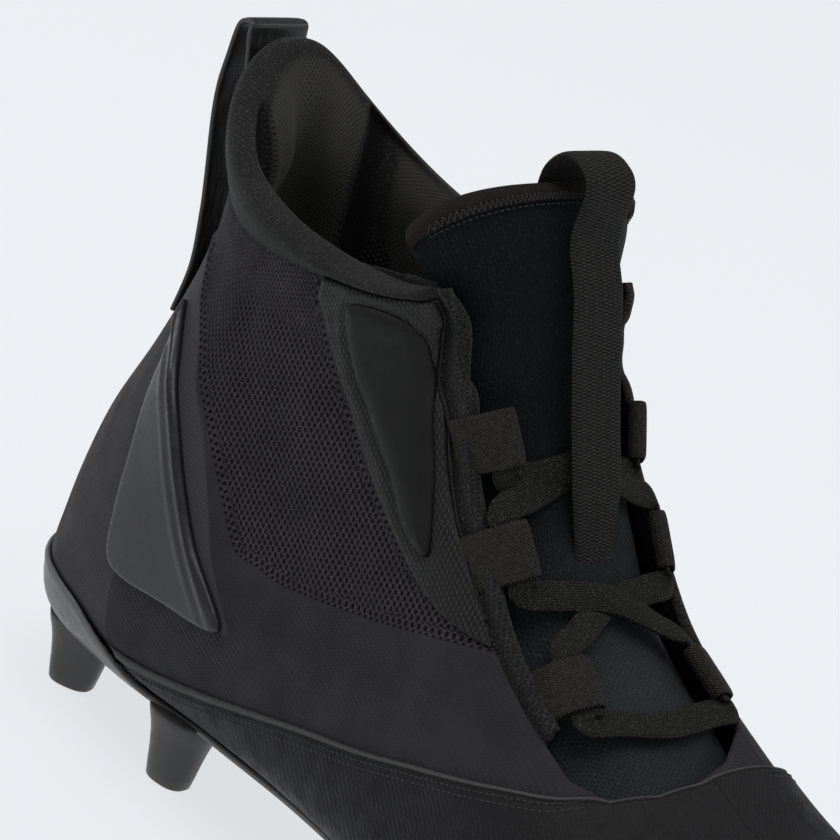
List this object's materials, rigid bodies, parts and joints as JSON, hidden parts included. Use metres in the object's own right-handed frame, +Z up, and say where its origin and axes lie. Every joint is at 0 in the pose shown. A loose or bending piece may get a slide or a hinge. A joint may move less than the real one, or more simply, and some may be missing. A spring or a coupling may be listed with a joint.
{
  "type": "american football cleat",
  "caption": "Right mid-cut football cleat with a hollow fabric upper, padded collar, laced tongue and a moulded plate with blunt studs.",
  "frame": {"origin": "on the ground under the middle of the whole shoe's bounding box", "axes": "+X towards the toe, +Y towards the wearer's left (the inner, medial side of this right shoe), +Z up from the stud tips"},
  "size_m": [0.3012, 0.0944, 0.1637],
  "materials": {
    "plate_plastic": "charcoal satin moulded plastic",
    "quarter_fabric": "black mesh and matte ribbed synthetic",
    "insole_fabric": "matte brushed knit",
    "vamp_synthetic": "matte fine-grained synthetic",
    "clip_plastic": "smooth charcoal gloss with a raised edge",
    "frame_synthetic": "textured matte synthetic",
    "pad_foam": "smooth matte moulded foam",
    "collar_knit": "padded fine black knit",
    "tongue_knit": "blue-black dense knit with pinholes",
    "pull_tape": "smooth semi-gloss woven tape",
    "strap_webbing": "ribbed webbing",
    "loop_webbing": "ribbed flat webbing",
    "lace_braid": "flat matte braid"
  },
  "bodies": {
    "root": {"outsole": "plate_plastic", "upper": "quarter_fabric", "insole": "insole_fabric", "vamp_shell": "vamp_synthetic", "heel_clip_lateral": "clip_plastic", "heel_clip_medial": "clip_plastic", "ankle_frame_lateral": "frame_synthetic", "ankle_frame_medial": "frame_synthetic", "ankle_pad_lateral": "pad_foam", "ankle_pad_medial": "pad_foam", "collar": "collar_knit", "tongue": "tongue_knit", "heel_pull_tape": "pull_tape", "tongue_pull_strap": "strap_webbing", "lace_loop_lateral_1": "loop_webbing", "lace_loop_lateral_2": "loop_webbing", "lace_loop_lateral_3": "loop_webbing", "lace_loop_medial_1": "loop_webbing", "lace_loop_medial_2": "loop_webbing", "lace_loop_medial_3": "loop_webbing", "lace": "lace_braid"}
  },
  "joints": []
}
